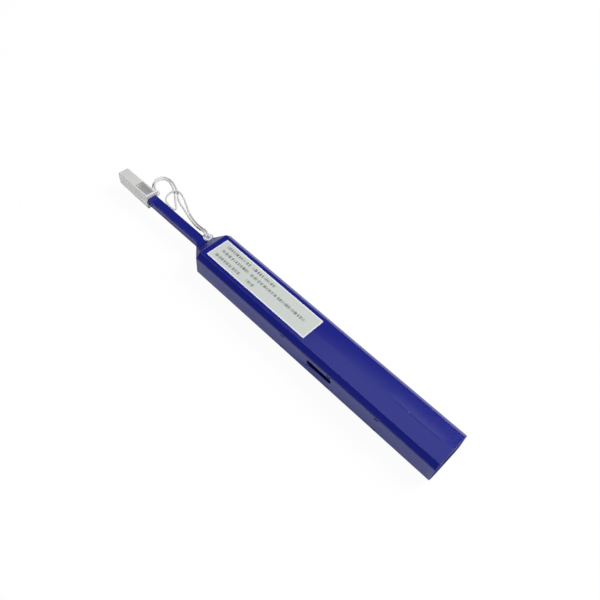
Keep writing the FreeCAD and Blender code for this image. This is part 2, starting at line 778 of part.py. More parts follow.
def tight_tube(points, radius):
    """Pulled-tight thread: straight cylinders with a ball at each corner."""
    points = [V(*p) for p in points]
    parts = [cylinder(radius, a, b - a, (b - a).Length) for a, b in zip(points, points[1:])]
    parts += [Part.makeSphere(radius, p) for p in points[1:-1]]
    return parts[0].fuse(parts[1:])


def guide_roller(side):
    z0 = roller_base()
    roller = upright(roller_radius, roller_x, side * roller_y, z0, z0 + roller_height)
    return roller.cut(upright(roller_pin_radius + bearing, roller_x, side * roller_y, z0, z0 + roller_height))


def roller_pin(side):
    return upright(roller_pin_radius, roller_x, side * roller_y, core_z, roller_base() + roller_height + gap)


def return_spring():
    """Compression spring from the case's rear wall to the core's tail."""
    length = rear_x - wall - tail_x
    rise = length - 2 * spring_wire_radius - 2 * gap
    start = tail_x + spring_wire_radius + gap
    steps = 2 * spring_arcs * spring_turns
    places = []
    for i in range(steps + 1):
        angle = math.pi * i / spring_arcs
        places.append(V(start + rise * i / steps, spring_radius * math.cos(angle),
                        mid_z + spring_radius * math.sin(angle)))
    arcs = [Part.Arc(*places[i:i + 3]) for i in range(0, steps, 2)]
    wire = Part.Wire([arc.toShape() for arc in arcs])
    profile = Part.Wire(Part.makeCircle(spring_wire_radius, places[0], arcs[0].tangent(arcs[0].FirstParameter)[0]))
    return wire.makePipeShell([profile], True, False)


# ---- the nodes ----------------------------------------------------------------------------------
def nodes():
    parts = {
        "mid_frame": mid_frame(), "front_cover": front_cover(), "back_cover": back_cover(),
        "label": label(), "eyelet": eyelet(), "cap": cap(),
        "tether_long_strand": tether_long_strand(), "tether_short_strand": tether_short_strand(),
        "tether_knot": tether_knot(),
        "core_frame": core_frame(), "nozzle_tube": nozzle_tube(), "tip_sleeve": tip_sleeve(),
        "supply_axle": supply_axle(), "supply_reel": supply_reel(), "supply_thread": supply_thread(),
        "take_up_axle": take_up_axle(), "take_up_reel": take_up_reel(), "take_up_thread": take_up_thread(),
        "drive_pinion": drive_pinion(), "drive_rack": drive_rack(),
        "ratchet_wheel": ratchet_wheel(), "ratchet_pawl": ratchet_pawl(),
        "cam_barrel": cam_barrel(), "cam_pin": cam_pin(), "head_shaft": head_shaft(),
        "cleaning_thread": cleaning_thread(), "return_spring": return_spring(),
    }
    for name, side in (("near", -1), ("far", 1)):
        parts["guide_roller_" + name] = guide_roller(side)
        parts["roller_pin_" + name] = roller_pin(side)
    return parts


def main():
    os.makedirs("parts", exist_ok=True)
    for name, shape in nodes().items():
        if not shape.isValid() or len(shape.Solids) != 1:
            print("CHECK", name, "valid", shape.isValid(), "solids", len(shape.Solids))
        shape.exportStep("parts/" + name + ".step")
        size = shape.BoundBox
        print(name, [round(v, 2) for v in (size.XMin, size.XMax, size.YMin, size.YMax, size.ZMin, size.ZMax)])


main()
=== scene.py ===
"""Looks of the fibre connector cleaning pen: glossy moulded case, milky push-on cap on a twisted cord,
printed label, and the wiping mechanism inside. Metres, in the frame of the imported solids.
"""
import bmesh
import bpy
import json
import math
from mathutils import Matrix, Vector

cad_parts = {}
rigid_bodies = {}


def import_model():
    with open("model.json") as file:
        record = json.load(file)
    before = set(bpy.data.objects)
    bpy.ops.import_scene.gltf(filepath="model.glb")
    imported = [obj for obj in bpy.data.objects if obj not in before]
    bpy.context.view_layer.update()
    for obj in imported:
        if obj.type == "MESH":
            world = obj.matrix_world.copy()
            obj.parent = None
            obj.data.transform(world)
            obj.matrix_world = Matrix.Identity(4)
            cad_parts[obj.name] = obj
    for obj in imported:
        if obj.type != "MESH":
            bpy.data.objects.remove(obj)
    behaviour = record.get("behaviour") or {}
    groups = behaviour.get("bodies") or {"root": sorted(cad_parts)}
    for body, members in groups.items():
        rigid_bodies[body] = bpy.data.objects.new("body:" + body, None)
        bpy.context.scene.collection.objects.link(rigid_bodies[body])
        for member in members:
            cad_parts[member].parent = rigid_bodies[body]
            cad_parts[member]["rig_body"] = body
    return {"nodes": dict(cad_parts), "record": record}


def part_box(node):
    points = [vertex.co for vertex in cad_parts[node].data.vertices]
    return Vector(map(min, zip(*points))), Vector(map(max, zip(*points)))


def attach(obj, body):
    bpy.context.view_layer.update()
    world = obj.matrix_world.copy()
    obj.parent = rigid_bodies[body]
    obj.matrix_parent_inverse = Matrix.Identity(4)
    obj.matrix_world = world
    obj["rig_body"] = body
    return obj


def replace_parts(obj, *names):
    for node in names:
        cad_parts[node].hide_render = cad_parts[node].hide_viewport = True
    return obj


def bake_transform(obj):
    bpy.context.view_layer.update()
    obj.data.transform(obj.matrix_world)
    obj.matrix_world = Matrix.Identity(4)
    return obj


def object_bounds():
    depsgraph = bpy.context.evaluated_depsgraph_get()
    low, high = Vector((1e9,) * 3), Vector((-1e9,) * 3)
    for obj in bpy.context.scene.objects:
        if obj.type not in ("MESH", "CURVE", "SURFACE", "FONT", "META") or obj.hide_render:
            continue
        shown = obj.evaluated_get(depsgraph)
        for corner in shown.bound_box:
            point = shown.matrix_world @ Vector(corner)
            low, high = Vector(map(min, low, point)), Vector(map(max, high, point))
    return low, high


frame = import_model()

bl_info = {
    "name": "Cleaning pen finishes",
    "version": (1, 0, 0),
    "blender": (4, 5, 0),
    "location": "View3D > Sidebar > Cleaning pen",
    "description": "Rounds, dresses and lights the fibre connector cleaning pen",
    "category": "Object",
}

MM = 0.001
cad_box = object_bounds()

# the case
GATE_BACK = 19.8 * MM         # gate mark ahead of the cover's rear end
CROWN_FALL = -200.0           # of the cover's broad face from its middle line, in bump heights a metre
WORN_AND_HIGHLIGHT_TONE = (0.19, 0.20, 0.42, 1)       # rubbed edges, with a painted highlight along them
WALL_SHEEN_TONE = (0.16, 0.17, 0.31, 1)       # painted reflection on the side walls, lighter towards the top
GATE_SHEEN_TONE = (0.085, 0.095, 0.36, 1)     # painted highlight on the gate's vestige and painted sheen beside the weld line

# rounding a solid's edges
FLAT_ANGLE = math.radians(0.8)          # facets closer than this are one face
EDGE_ANGLE = math.radians(28)           # edges sharper than this are rounded
CREASE_ANGLE = math.radians(32)         # edges sharper than this stay creases
LONG_EDGE = 2.4 * MM                    # the frame's shorter edges stay as they are

# the label
BORDER_WHITE = (0.93, 0.94, 0.96, 1)
# rows of print: place down the label, start and end along it, all as shares of its size
LABEL_ROWS = [(0.21, 0.05, 0.56), (0.47, 0.05, 0.93), (0.76, 0.04, 0.45)]

# the cord
CORD_DIAMETER = 1.0 * MM
PLIES = 3
PLY_SHARE = 0.84              # of the cord's radius, one ply's
STRAND_STEP = 0.3 * MM        # between points along a strand
KNOT_STEP = 0.25 * MM
KNOT_RISE = 0.55              # of the knot's radius to the cord's middle
KNOT_POINTS = 90


# ---- sizes and colours a user may change --------------------------------------------------------
def colour_property(name, description, srgb):
    return bpy.props.FloatVectorProperty(
        name=name, description=description, subtype="COLOR", size=3, min=0, max=1,
        default=[linear(c) for c in srgb])


def length_property(name, description, millimetres):
    return bpy.props.FloatProperty(
        name=name, description=description, subtype="DISTANCE", unit="LENGTH", min=0,
        precision=5, default=millimetres * MM)


def linear(value):
    """An 8-bit sRGB channel as linear light."""
    share = value / 255
    return share / 12.92 if share <= 0.04045 else ((share + 0.055) / 1.055) ** 2.4


class PenSizes(bpy.types.PropertyGroup):
    edge_round: length_property("Edge round", "Radius on the covers' moulded edges", 0.25)
    frame_round: length_property("Frame round", "Radius on the frame's long edges", 0.1)
    cap_round: length_property("Cap round", "Radius on the cap's edges", 0.3)
    cap_window: length_property("Cap corner", "Thick milky strip along the cap's corners", 1.0)
    label_border: length_property("Label border", "Unprinted border round the label", 0.5)
    cord_lay: length_property("Cord lay", "Length of one full twist of the cord", 4.2)
    knot_size: length_property("Knot size", "Radius of the stopper knot under the eyelet", 1.6)
    winding_pitch: length_property("Winding pitch", "Distance between turns of thread on a reel", 0.32)


class PenColours(bpy.types.PropertyGroup):
    case_blue: colour_property("Case", "Glossy blue of the case", (24, 31, 136))
    label_white: colour_property("Label", "Printed field of the label", (216, 221, 217))
    print_grey: colour_property("Print", "Rows of print on the label", (86, 88, 80))
    cap_white: colour_property("Cap", "Milky plastic of the cap", (237, 237, 234))
    cord_white: colour_property("Cord", "Polyester cord", (228, 229, 226))
    eyelet_white: colour_property("Eyelet", "Glossy nylon eyelet", (226, 228, 240))
    acetal_white: colour_property("Gears", "Acetal of gears and rollers", (226, 225, 219))
    core_grey: colour_property("Core", "Moulded core", (78, 82, 92))
    reel_blue: colour_property("Reels", "Moulded thread reels", (16, 20, 72))
    steel: colour_property("Steel", "Ground steel pins", (186, 188, 192))


class PenStage(bpy.types.PropertyGroup):
    floor_reach: bpy.props.FloatProperty(
        name="Floor reach", description="Half width of the floor", subtype="DISTANCE", unit="LENGTH",
        default=2.5)
    sky: bpy.props.FloatProperty(
        name="Sky", description="Strength of the even light from all round", min=0, default=0.11)
    key: bpy.props.FloatProperty(
        name="Key lamp", description="Power of the main lamp, in watts", min=0, default=17.0)
    lens: bpy.props.FloatProperty(
        name="Lens", description="Focal length of the camera, in millimetres", min=1, default=37.75)


GROUPS = {"pen_sizes": PenSizes, "pen_colours": PenColours, "pen_stage": PenStage}


def sizes():
    return bpy.context.scene.pen_sizes


def colours():
    return bpy.context.scene.pen_colours


# ---- shader maths as Python expressions ---------------------------------------------------------
class Socket:
    """A node's output, so that + - * / and comparisons build Math nodes."""

    def __init__(self, finish, output):
        self.finish = finish
        self.output = output

    def math(self, operation, *others, clamp=False):
        values = {i: value for i, value in enumerate((self,) + others)}
        return self.finish.node("ShaderNodeMath", {"operation": operation, "use_clamp": clamp}, values)

    def __add__(self, other):
        return self.math("ADD", other)

    __radd__ = __add__

    def __mul__(self, other):
        return self.math("MULTIPLY", other)

    __rmul__ = __mul__

    def __sub__(self, other):
        return self.math("SUBTRACT", other)

    def __rsub__(self, other):
        return self.finish.node("ShaderNodeMath", {"operation": "SUBTRACT"}, {0: other, 1: self})

    def __truediv__(self, other):
        return self.math("DIVIDE", other)

    def __abs__(self):
        return self.math("ABSOLUTE")

    def above(self, edge, blur):
        """0 below the edge and 1 above it, with a soft step."""
        return ((self - edge) / blur + 0.5).math("ADD", 0.0, clamp=True)

    def below(self, edge, blur):
        return 1 - self.above(edge, blur)


class Finish:
    """A procedural material under construction."""

    def __init__(self, name):
        self.material = bpy.data.materials.new(name)
        self.material.use_nodes = True
        self.tree = self.material.node_tree
        self.tree.nodes.clear()
        self.place = self.node("ShaderNodeTexCoord", {}, {}, "Object")

    def node(self, kind, settings, values, output=0):
        """Adds a node, sets its settings, then its sockets, and returns one of its outputs."""
        made = self.tree.nodes.new(kind)
        for name, value in settings.items():
            setattr(made, name, value)
        for name, value in values.items():
            if isinstance(value, Socket):
                self.tree.links.new(value.output, made.inputs[name])
            else:
                made.inputs[name].default_value = value
        return Socket(self, made.outputs[output]) if len(made.outputs) else None

    def xyz(self):
        """The place's three coordinates in metres."""
        return [self.node("ShaderNodeSeparateXYZ", {}, {0: self.place}, axis) for axis in "XYZ"]

    def stretched(self, scale):
        """The place with each axis scaled, which draws a pattern out."""
        return self.node("ShaderNodeMapping", {}, {"Vector": self.place, "Scale": scale})

    def noise(self, scale, detail=2.0, vector=None):
        values = {"Vector": vector or self.place, "Scale": scale, "Detail": detail}
        return self.node("ShaderNodeTexNoise", {}, values, "Fac")

    def mix(self, factor, first, second):
        """Blend of two colours."""
        values = {"Factor": factor, 6: first, 7: second}
        return self.node("ShaderNodeMix", {"data_type": "RGBA"}, values, 2)

    def bump(self, height, distance, strength=1.0):
        values = {"Height": height, "Distance": distance, "Strength": strength}
        return self.node("ShaderNodeBump", {}, values, "Normal")

    def surface(self, values):
        """The shader and its output. Returns the material."""
        shader = self.node("ShaderNodeBsdfPrincipled", {}, values)
        self.node("ShaderNodeOutputMaterial", {}, {"Surface": shader})
        return self.material


def shade(colour, factor):
    """A colour made lighter or darker, as four channels."""
    return [min(1.0, c * factor) for c in colour[:3]] + [1.0]


# ---- finishes -----------------------------------------------------------------------------------
def moulded_blue(name, gate=None):
    """Glossy moulded plastic: flow marks, rubbed edges lightened as a painted highlight, side walls paled
    by a painted reflection that grows towards the top, a cover's gate mark with a painted highlight and
    sheen.
    """
    finish = Finish(name)
    blue = colours().case_blue
    flow = finish.noise(26.0, 3.0, finish.stretched((0.35, 1.0, 1.0)))
    colour = finish.mix(flow, shade(blue, 0.90), shade(blue, 1.10))
    edge = finish.node("ShaderNodeAttribute", {"attribute_name": "edge"}, {}, "Fac")
    # rubbed edges, and the rounds made paler in colour as a painted highlight along them
    rub_and_highlight = edge * finish.noise(420.0, 2.0).above(0.42, 0.25)
    colour = finish.mix(rub_and_highlight * 0.30, colour, WORN_AND_HIGHLIGHT_TONE)
    x, y, z = finish.xyz()
    half_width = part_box("front_cover")[1].y
    # side walls paled towards a lighter blue as a painted reflection, more so towards the top
    walls = abs(y).above(half_width - 0.3 * MM, 0.2 * MM)
    colour = finish.mix(walls * (0.2 + 22.0 * z), colour, WALL_SHEEN_TONE)
    end_face = x.above(cad_box[1].x - 0.2 * MM, 0.1 * MM)
    roughness = 0.23 + 0.04 * finish.noise(900.0, 2.0) + 0.06 * rub_and_highlight + 0.3 * end_face
    height = finish.noise(60.0, 1.0, finish.stretched((0.5, 1.0, 1.0))) * 0.35
    if gate is not None:
        marks, gate_sheen = gate_mark(finish, gate)
        height = height + marks
        # painted highlight and sheen round the gate mark
        colour = finish.mix(gate_sheen, colour, GATE_SHEEN_TONE)
    return finish.surface({
        "Base Color": colour, "Roughness": roughness, "IOR": 1.46,
        "Normal": finish.bump(height, 0.1 * MM)})


def gate_mark(finish, gate):
    """The cover's crown, the gate's vestige and the weld line through it: their height, and their painted
    highlight and sheen.
    """
    x, y, _ = finish.xyz()
    side = y - gate.y + 0.25 * MM * (finish.noise(55.0, 1.0) - 0.5)
    across = abs(side)
    along = x - gate.x
    away = (along * along + across * across).math("SQRT")
    crown = across * CROWN_FALL
    vestige = away.below(0.3 * MM, 0.3 * MM)
    reach = along.above(-8 * MM, 6 * MM) * along.below(15 * MM, 4 * MM)
    line = across.below(0.12 * MM, 0.2 * MM) * reach
    flare = side.above(0.1 * MM, 0.2 * MM) * side.below(1.8 * MM, 4 * MM) * reach
    # lighter colour on the gate's vestige and beside the weld line: a painted highlight and sheen
    gate_sheen = (vestige * 0.9 + flare * 0.22).math("MINIMUM", 1.0)
    return crown + vestige * 0.6 - line * 0.5, gate_sheen


def label_paper():
    """Satin label: a white border round a pale field with rows of plain grey print marks."""
    finish = Finish("label_paper")
    x, y, _ = finish.xyz()
    low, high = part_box("label")
    border = sizes().label_border
    inside = (abs(x - (low.x + high.x) / 2).below((high.x - low.x) / 2 - border, 0.08 * MM)
              * abs(y - (low.y + high.y) / 2).below((high.y - low.y) / 2 - border, 0.08 * MM))
    mottle = finish.noise(700.0, 3.0)
    field = finish.mix(mottle, shade(colours().label_white, 0.985), shade(colours().label_white, 1.015))
    colour = finish.mix(inside, BORDER_WHITE, field)
    marks = print_rows(finish, x, y, low, high)
    colour = finish.mix(marks * 0.85, colour, [*colours().print_grey, 1.0])
    height = finish.noise(1800.0, 2.0) * 0.5 - marks * 0.2
    return finish.surface({
        "Base Color": colour, "Roughness": 0.42 + 0.1 * mottle, "IOR": 1.45,
        "Normal": finish.bump(height, 0.03 * MM, 0.5)})


def print_rows(finish, x, y, low, high):
    """Plain grey marks in rows, with no letters: strokes broken into word-long runs."""
    width = high.y - low.y
    length = high.x - low.x
    total = None
    for number, (down, start, stop) in enumerate(LABEL_ROWS):
        middle = high.y - down * width
        shifted = finish.node("ShaderNodeMapping", {}, {
            "Vector": finish.place, "Location": (13 * MM * number, 0.4 * number, 0), "Scale": (1, 0, 0)})
        strokes = finish.noise(1700.0, 1.0, shifted).above(0.50, 0.05)
        words = finish.noise(150.0, 0.0, shifted).above(0.38, 0.03)
        height = finish.noise(1100.0, 0.0, shifted) * (0.7 * MM) + 0.3 * MM
        band = abs(y - middle) - height
        run = x.above(low.x + start * length, 0.2 * MM) * x.below(low.x + stop * length, 0.2 * MM)
        row = band.below(0.0, 0.2 * MM) * strokes * words * run
        total = row if total is None else total + row
    return total.math("MINIMUM", 1.0)


def milky_cap():
    """Translucent polyethylene, clearer between its corners and most of all over the neck."""
    finish = Finish("milky_polyethylene")
    x, y, z = finish.xyz()
    low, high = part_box("cap")
    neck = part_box("mid_frame")[0].x
    middle = (low.z + high.z) / 2
    window = sizes().cap_window
    tall = abs(z - middle).below((high.z - low.z) / 2 - window, 0.2 * MM)
    wide = abs(y).below(-low.y - window, 0.2 * MM)
    open_side = 0.08 * tall + 0.6 * wide
    over_neck = 0.15 + 0.85 * x.above(neck - 0.8 * MM, 0.3 * MM)
    lengthwise = x.above(low.x + window, 0.3 * MM) * x.below(high.x - window, 0.3 * MM)
    clear = open_side * over_neck * lengthwise
    cloud = finish.noise(220.0, 3.0)
    colour = finish.mix(cloud, shade(colours().cap_white, 0.98), shade(colours().cap_white, 1.02))
    return finish.surface({
        "Base Color": colour, "Roughness": 0.3 + 0.1 * cloud, "IOR": 1.51,
        "Alpha": 0.95 - clear,
        "Normal": finish.bump(finish.noise(1500.0, 2.0), 0.02 * MM, 0.4)})


def glossy_nylon():
    """Turned and polished nylon of the eyelet."""
    finish = Finish("glossy_nylon")
    cloud = finish.noise(900.0, 2.0)
    colour = finish.mix(cloud, shade(colours().eyelet_white, 0.96), shade(colours().eyelet_white, 1.03))
    return finish.surface({
        "Base Color": colour, "Roughness": 0.2 + 0.08 * cloud, "IOR": 1.53,
        "Normal": finish.bump(finish.noise(2400.0, 1.0), 0.02 * MM, 0.5)})


def twisted_cord():
    """Fine polyester filaments that run along each ply of the cord."""
    finish = Finish("polyester_cord")
    uv = finish.node("ShaderNodeUVMap", {"uv_map": "UVMap"}, {})
    drawn = finish.node("ShaderNodeMapping", {}, {"Vector": uv, "Scale": (40.0, 9.0, 1.0)})
    fibres = finish.noise(1.0, 3.0, drawn)
    colour = finish.mix(fibres, shade(colours().cord_white, 0.96), shade(colours().cord_white, 1.03))
    return finish.surface({
        "Base Color": colour, "Roughness": 0.62 + 0.15 * fibres,
        "Sheen Weight": 0.25, "Sheen Roughness": 0.5,
        "Normal": finish.bump(fibres, 0.02 * MM, 0.5)})


def lint_free_thread():
    """Wiping thread: filaments, and the wound turns where it lies on a reel, painted darker in the
    grooves between turns as shade.
    """
    finish = Finish("lint_free_thread")
    _, _, z = finish.xyz()
    pitch = sizes().winding_pitch
    turns = (z * (2 * math.pi / pitch)).math("SINE") * 0.5 + 0.5
    fuzz = finish.noise(2200.0, 3.0, finish.stretched((1.0, 1.0, 2.5)))
    white = (0.86, 0.86, 0.83, 1)
    # darker in the grooves between the turns: painted shade
    colour = finish.mix(turns * (0.7 + 0.3 * fuzz), shade(white, 0.72), white)
    return finish.surface({
        "Base Color": colour, "Roughness": 0.7 + 0.15 * fuzz, "Sheen Weight": 0.3,
        "Normal": finish.bump(turns + 0.3 * fuzz, 0.08 * MM, 0.8)})


def acetal(name, colour, roughness):
    """Moulded engineering plastic with a fine eroded grain."""
    finish = Finish(name)
    grain = finish.noise(1400.0, 3.0)
    cloud = finish.noise(150.0, 2.0)
    tone = finish.mix(cloud, shade(colour, 0.93), shade(colour, 1.05))
    return finish.surface({
        "Base Color": tone, "Roughness": roughness + 0.12 * grain, "IOR": 1.48,
        "Normal": finish.bump(grain, 0.03 * MM, 0.6)})


def ground_steel(name, tint, roughness):
    """Steel with fine marks left by grinding or drawing."""
    finish = Finish(name)
    marks = finish.noise(60.0, 3.0, finish.stretched((6.0, 60.0, 60.0)))
    colour = finish.mix(marks, shade(tint, 0.82), shade(tint, 1.08))
    return finish.surface({
        "Base Color": colour, "Metallic": 1.0, "Roughness": roughness + 0.14 * marks,
        "Normal": finish.bump(marks, 0.02 * MM, 0.4)})


def inner_finishes():
    """The mechanism's finishes by the record's material slot."""
    white = acetal("white_acetal", colours().acetal_white, 0.34)
    return {
        "gear_white": white,
        "tip_white": white,
        "nozzle_white": acetal("nozzle_acetal", colours().acetal_white, 0.38),
        "core_grey": acetal("grey_acetal", colours().core_grey, 0.4),
        "reel_blue": acetal("reel_plastic", colours().reel_blue, 0.3),
        "pin_steel": ground_steel("ground_steel", colours().steel, 0.2),
        "spring_steel": ground_steel("spring_wire", colours().steel, 0.3),
        "thread_white": lint_free_thread(),
    }


# ---- shaping helpers ----------------------------------------------------------------------------
def new_piece(name, mesh, material, body):
    """A dressed piece that rides a body, or rides none where no body is given."""
    piece = bpy.data.objects.new(name, mesh)
    bpy.context.scene.collection.objects.link(piece)
    mesh.materials.clear()
    mesh.materials.append(material)
    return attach(piece, body) if body else piece


def wear_material(node, material):
    """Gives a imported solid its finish."""
    mesh = frame["nodes"][node].data
    mesh.materials.clear()
    mesh.materials.append(material)


def rounded_copy(node, radius, least_length):
    """A merged copy of a solid's mesh with its outward edges rounded, and those rounds marked.

    Where only long edges are rounded, the radius isn't cut down to what the smallest feature could take.
    """
    mesh = frame["nodes"][node].data.copy()
    mesh.name = node + "_rounded"
    shape = bmesh.new()
    shape.from_mesh(mesh)
    bmesh.ops.remove_doubles(shape, verts=shape.verts, dist=0.002 * MM)
    bmesh.ops.dissolve_limit(shape, angle_limit=FLAT_ANGLE, verts=shape.verts, edges=shape.edges)
    edge = shape.faces.layers.float.new("edge")
    sharp = [e for e in shape.edges if e.is_manifold and e.calc_face_angle_signed(0) > EDGE_ANGLE
             and e.calc_length() > least_length]
    made = bmesh.ops.bevel(shape, geom=sharp, offset=radius, segments=3, profile=0.5, affect="EDGES",
                           clamp_overlap=least_length == 0, material=-1)
    for face in made["faces"]:
        face[edge] = 1.0
    bmesh.ops.triangulate(shape, faces=[f for f in shape.faces if len(f.verts) > 4])
    for face in shape.faces:
        face.smooth = True
    shape.to_mesh(mesh)
    shape.free()
    mesh.set_sharp_from_angle(angle=CREASE_ANGLE)
    return mesh


def rounded_shell(node, radius, material, least_length=0.0):
    """The rounded copy as the piece that is seen in the solid's place."""
    mesh = rounded_copy(node, radius, least_length)
    body = frame["nodes"][node]["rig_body"]
    piece = new_piece(node + "_moulding", mesh, material, body)
    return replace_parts(piece, node)


def route_line(route):
    """Points along the smooth line of a cord's route."""
    line = bpy.data.curves.new("route", "CURVE")
    line.dimensions = "3D"
    line.resolution_u = 14
    spline = line.splines.new("NURBS")
    spline.points.add(len(route) - 1)
    for point, place in zip(spline.points, route):
        point.co = (*(c * MM for c in place), 1)
    spline.order_u = 3
    spline.use_endpoint_u = True
    holder = bpy.data.objects.new("route", line)
    bpy.context.scene.collection.objects.link(holder)
    mesh = bpy.data.meshes.new_from_object(holder)
    points = [v.co.copy() for v in mesh.vertices]
    bpy.data.objects.remove(holder)
    bpy.data.meshes.remove(mesh)
    return points


def even_points(points, step):
    """The same line with points an even step apart."""
    lengths = [(b - a).length for a, b in zip(points, points[1:])]
    total = sum(lengths)
    count = max(2, round(total / step))
    result, i, passed = [], 0, 0.0
    for k in range(count + 1):
        want = total * k / count
        while i < len(lengths) - 1 and passed + lengths[i] < want:
            passed += lengths[i]
            i += 1
        result.append(points[i].lerp(points[i + 1], min(1.0, (want - passed) / lengths[i])))
    return result, total


def twist(points, total):
    """Mesh of the cord's plies twisted round a line of the given length."""
    ply_radius = CORD_DIAMETER / 2 * PLY_SHARE
    orbit = CORD_DIAMETER / 2 - ply_radius
    lay = sizes().cord_lay
    curve = bpy.data.curves.new("plies", "CURVE")
    curve.dimensions = "3D"
    curve.bevel_depth = ply_radius
    curve.bevel_resolution = 3
    curve.use_fill_caps = True
    splines = [curve.splines.new("POLY") for _ in range(PLIES)]
    for spline in splines:
        spline.points.add(len(points) - 1)
    tangents = [(b - a).normalized() for a, b in zip(points, points[1:])]
    tangents.append(tangents[-1])
    side = tangents[0].orthogonal().normalized()
    for k, (point, tangent) in enumerate(zip(points, tangents)):
        side = (side - tangent * side.dot(tangent)).normalized()
        turn = 2 * math.pi * total * k / ((len(points) - 1) * lay)
        for ply, spline in enumerate(splines):
            angle = turn + 2 * math.pi * ply / PLIES
            place = point + (side * math.cos(angle) + tangent.cross(side) * math.sin(angle)) * orbit
            spline.points[k].co = (*place, 1)
    holder = bpy.data.objects.new("plies", curve)
    bpy.context.scene.collection.objects.link(holder)
    mesh = bpy.data.meshes.new_from_object(holder)
    bpy.data.objects.remove(holder)
    mesh.shade_smooth()
    return mesh


# ---- the cord's routes, in millimetres, from the eyelet to the cap's lug ------------------------
LONG_STRAND = [
    (-38.35, 3.55, 7.2), (-38.35, 3.55, 9.6), (-41.0, 4.4, 9.7), (-45.1, 5.5, 7.0), (-50.4, 7.0, 4.1),
    (-56.0, 8.9, 1.8), (-61.2, 10.7, 0.6), (-64.6, 12.3, 0.5), (-68.0, 13.9, 0.6), (-71.2, 15.1, 1.1),
    (-74.0, 15.4, 1.6), (-75.9, 14.2, 1.7), (-76.4, 12.2, 1.6), (-76.4, 10.1, 1.1), (-75.2, 8.1, 0.6),
    (-72.8, 7.0, 0.5), (-69.9, 6.6, 0.5), (-67.3, 6.9, 0.5), (-67.0, 8.1, 0.5), (-69.4, 9.4, 0.5),
    (-72.6, 11.6, 0.5), (-75.6, 13.8, 0.5), (-78.4, 15.2, 0.5), (-81.3, 16.2, 0.6), (-83.7, 16.7, 0.8),
    (-85.2, 15.6, 1.6), (-85.3, 13.4, 2.8), (-84.0, 10.6, 4.4), (-81.6, 7.6, 6.2), (-78.9, 5.4, 8.0),
    (-75.9, 4.0, 8.6), (-75.9, 4.0, 6.6),
]
SHORT_STRAND = [
    (-38.85, 2.65, 7.2), (-38.85, 2.65, 9.6), (-41.5, 3.4, 9.6), (-45.5, 4.4, 6.9), (-50.8, 5.9, 4.0),
    (-56.4, 7.8, 1.8), (-61.4, 9.5, 0.6), (-65.3, 10.6, 0.5), (-69.1, 11.5, 0.5), (-72.2, 12.9, 0.5),
    (-75.1, 15.0, 0.5), (-78.1, 16.5, 0.5), (-81.2, 17.5, 0.5), (-84.3, 17.9, 0.6), (-86.5, 16.6, 1.3),
    (-87.0, 14.2, 2.2), (-86.0, 10.9, 3.3), (-83.4, 7.4, 4.2), (-80.0, 5.0, 4.6), (-75.9, 4.0, 4.6),
    (-75.9, 4.0, 6.6),
]


def strand(name, node, route, material):
    """One strand of the tether as twisted plies."""
    points = route_line(route)
    even, total = even_points(points, STRAND_STEP)
    piece = new_piece(name, twist(even, total), material, None)
    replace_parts(piece, node)
    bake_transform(piece)
    return piece


def knot_line(centre, radius):
    """Closed three-lobed knot line round a point."""
    spread = (radius - CORD_DIAMETER / 2) / 3
    rise = KNOT_RISE * (radius - CORD_DIAMETER / 2)
    line = []
    for k in range(KNOT_POINTS + 1):
        angle = 2 * math.pi * k / KNOT_POINTS
        line.append(centre + Vector((
            spread * (math.sin(angle) + 2 * math.sin(2 * angle)),
            spread * (math.cos(angle) - 2 * math.cos(2 * angle)),
            -rise * math.sin(3 * angle))))
    return line


def knot_mesh():
    """The stopper knot, with the two strands rising from its middle towards the eyelet."""
    low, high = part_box("tether_knot")
    centre = Vector(((low.x + high.x) / 2, (low.y + high.y) / 2, low.z + sizes().knot_size))
    mesh = twist(*even_points(knot_line(centre, sizes().knot_size), KNOT_STEP))
    shape = bmesh.new()
    shape.from_mesh(mesh)
    for route in (LONG_STRAND, SHORT_STRAND):
        x, y, z = (c * MM for c in route[0])
        shape.from_mesh(twist(*even_points([Vector((x, y, centre.z)), Vector((x, y, z))], KNOT_STEP)))
    shape.to_mesh(mesh)
    shape.free()
    return mesh


def squeezed_spring(material):
    """The return spring as a piece of its own, which rides no body."""
    mesh = frame["nodes"]["return_spring"].data.copy()
    spring = new_piece("coil_spring", mesh, material, None)
    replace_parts(spring, "return_spring")
    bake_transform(spring)


# ---- operators ----------------------------------------------------------------------------------
class PEN_OT_case(bpy.types.Operator):
    """Round the case's frame and covers and give them their glossy blue"""
    bl_idname = "pen.case"
    bl_label = "Case"

    def execute(self, context):
        gate = Vector((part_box("front_cover")[1].x - GATE_BACK, 0, 0))
        cover = moulded_blue("cover_blue", gate)
        side = moulded_blue("frame_blue")
        rounded_shell("mid_frame", sizes().frame_round, side, LONG_EDGE)
        rounded_shell("front_cover", sizes().edge_round, cover)
        rounded_shell("back_cover", sizes().edge_round, cover)
        for node in ("mid_frame", "front_cover", "back_cover"):
            wear_material(node, cover)
        return {"FINISHED"}


class PEN_OT_label(bpy.types.Operator):
    """Finish the label with its border and rows of print marks"""
    bl_idname = "pen.label"
    bl_label = "Label"

    def execute(self, context):
        wear_material("label", label_paper())
        return {"FINISHED"}


class PEN_OT_cap(bpy.types.Operator):
    """Round the cap's edges and make it milky"""
    bl_idname = "pen.cap"
    bl_label = "Cap"

    def execute(self, context):
        material = milky_cap()
        rounded_shell("cap", sizes().cap_round, material)
        wear_material("cap", material)
        return {"FINISHED"}


class PEN_OT_eyelet(bpy.types.Operator):
    """Finish the eyelet in glossy nylon"""
    bl_idname = "pen.eyelet"
    bl_label = "Eyelet"

    def execute(self, context):
        wear_material("eyelet", glossy_nylon())
        return {"FINISHED"}


